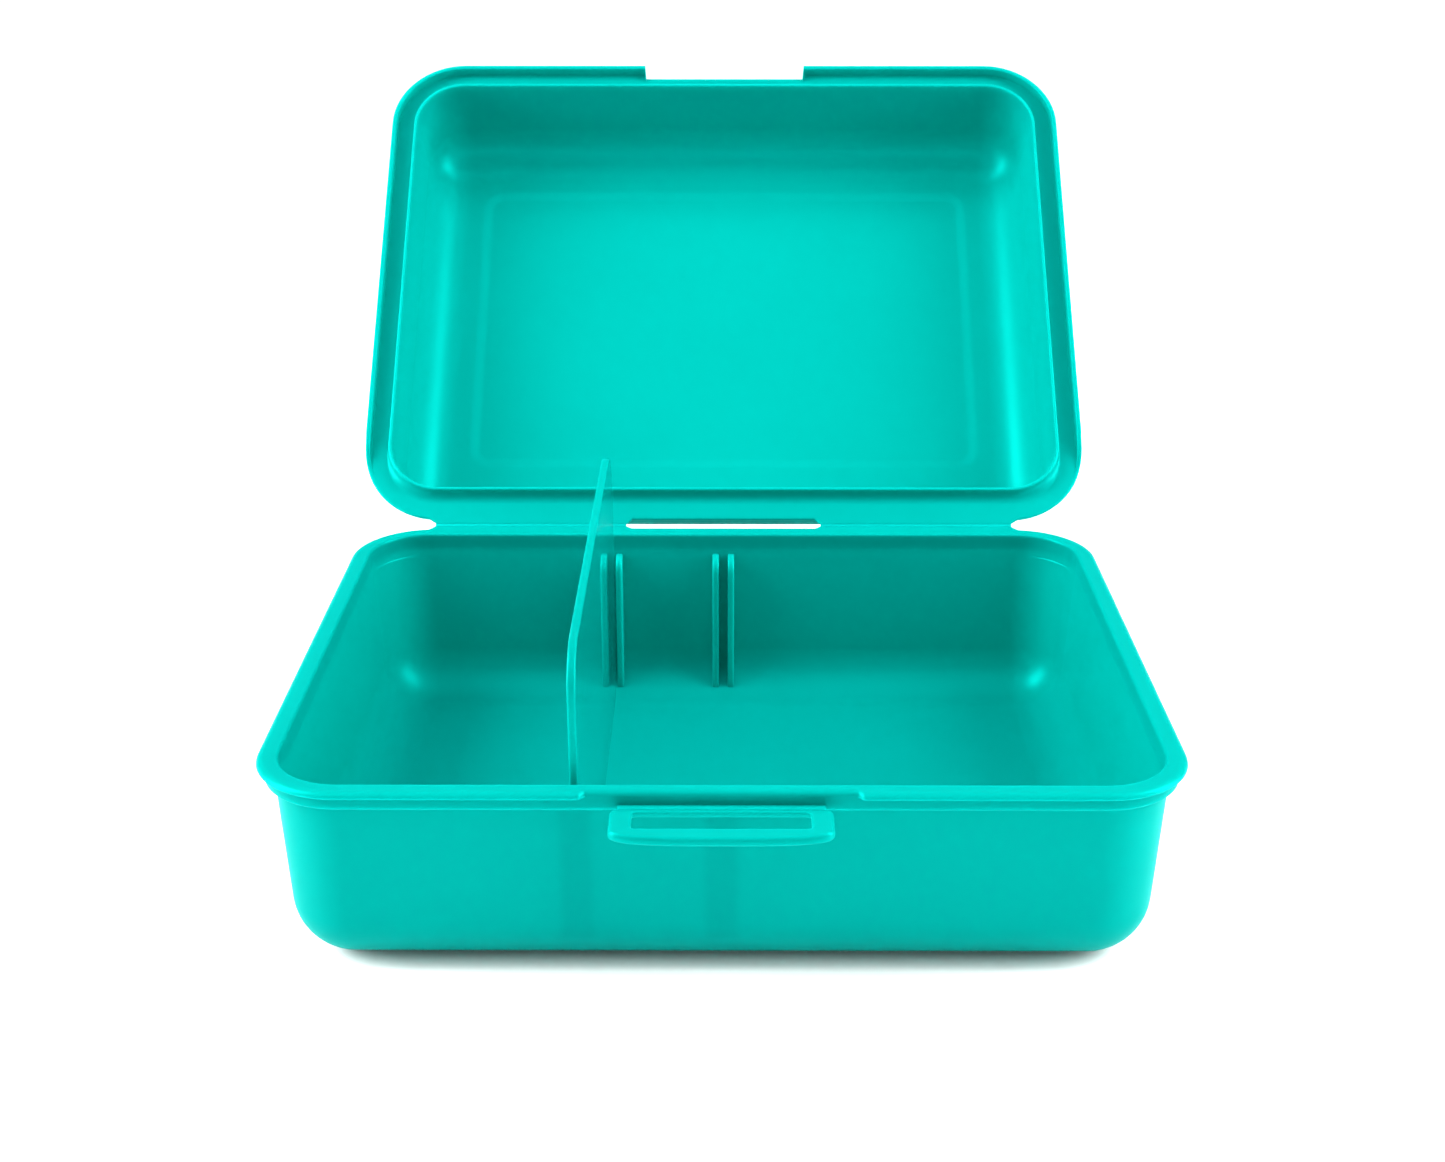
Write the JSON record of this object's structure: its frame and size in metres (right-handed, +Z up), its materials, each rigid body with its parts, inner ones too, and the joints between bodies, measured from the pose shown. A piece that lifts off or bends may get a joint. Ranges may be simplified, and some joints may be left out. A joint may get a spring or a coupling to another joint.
{
  "type": "lunch box",
  "caption": "Hinged plastic lunch box with a deep lid on film hinges, a snap clip at the front and a lift-out divider panel held in ribbed slots.",
  "frame": {"origin": "on the surface the box stands on, under the middle of the box's rim", "axes": "+X along the hinge, +Y from the clip side to the hinge side, +Z up"},
  "size_m": [0.18, 0.2574, 0.1397],
  "materials": {
    "box_plastic": "satin",
    "film_plastic": "satin",
    "divider_plastic": "satin"
  },
  "bodies": {
    "base": {"base_tub": "box_plastic", "base_rim": "box_plastic", "slot_left_back": "box_plastic", "slot_left_front": "box_plastic", "slot_middle_back": "box_plastic", "slot_middle_front": "box_plastic", "hinge_leaf_base_left": "box_plastic", "hinge_leaf_base_right": "box_plastic", "hinge_film_left": "film_plastic", "hinge_film_right": "film_plastic", "clip_hinge_leaf": "box_plastic"},
    "lid": {"lid_shell": "box_plastic", "lid_panel": "box_plastic", "lid_flange": "box_plastic", "lid_seal_bead": "box_plastic", "lid_clip_lug": "box_plastic", "hinge_leaf_lid_left": "box_plastic", "hinge_leaf_lid_right": "box_plastic"},
    "clip": {"clip_film": "film_plastic", "clip_plate": "box_plastic"},
    "divider": {"divider_panel": "divider_plastic"}
  },
  "joints": [
    {"name": "lid_hinge", "type": "hinge", "parent": "base", "child": "lid", "pos_m": [0, 0.06935, 0.0421], "axis": [-1, 0, 0], "range_deg": [-136.3, 43.7]},
    {"name": "clip_hinge", "type": "hinge", "parent": "base", "child": "clip", "pos_m": [0, -0.06735, 0.039], "axis": [-1, 0, 0], "range_deg": [-70, 90]},
    {"name": "divider_lift", "type": "slide", "parent": "base", "child": "divider", "axis": [0, 0, 1], "range_m": [0, 0.075]}
  ]
}
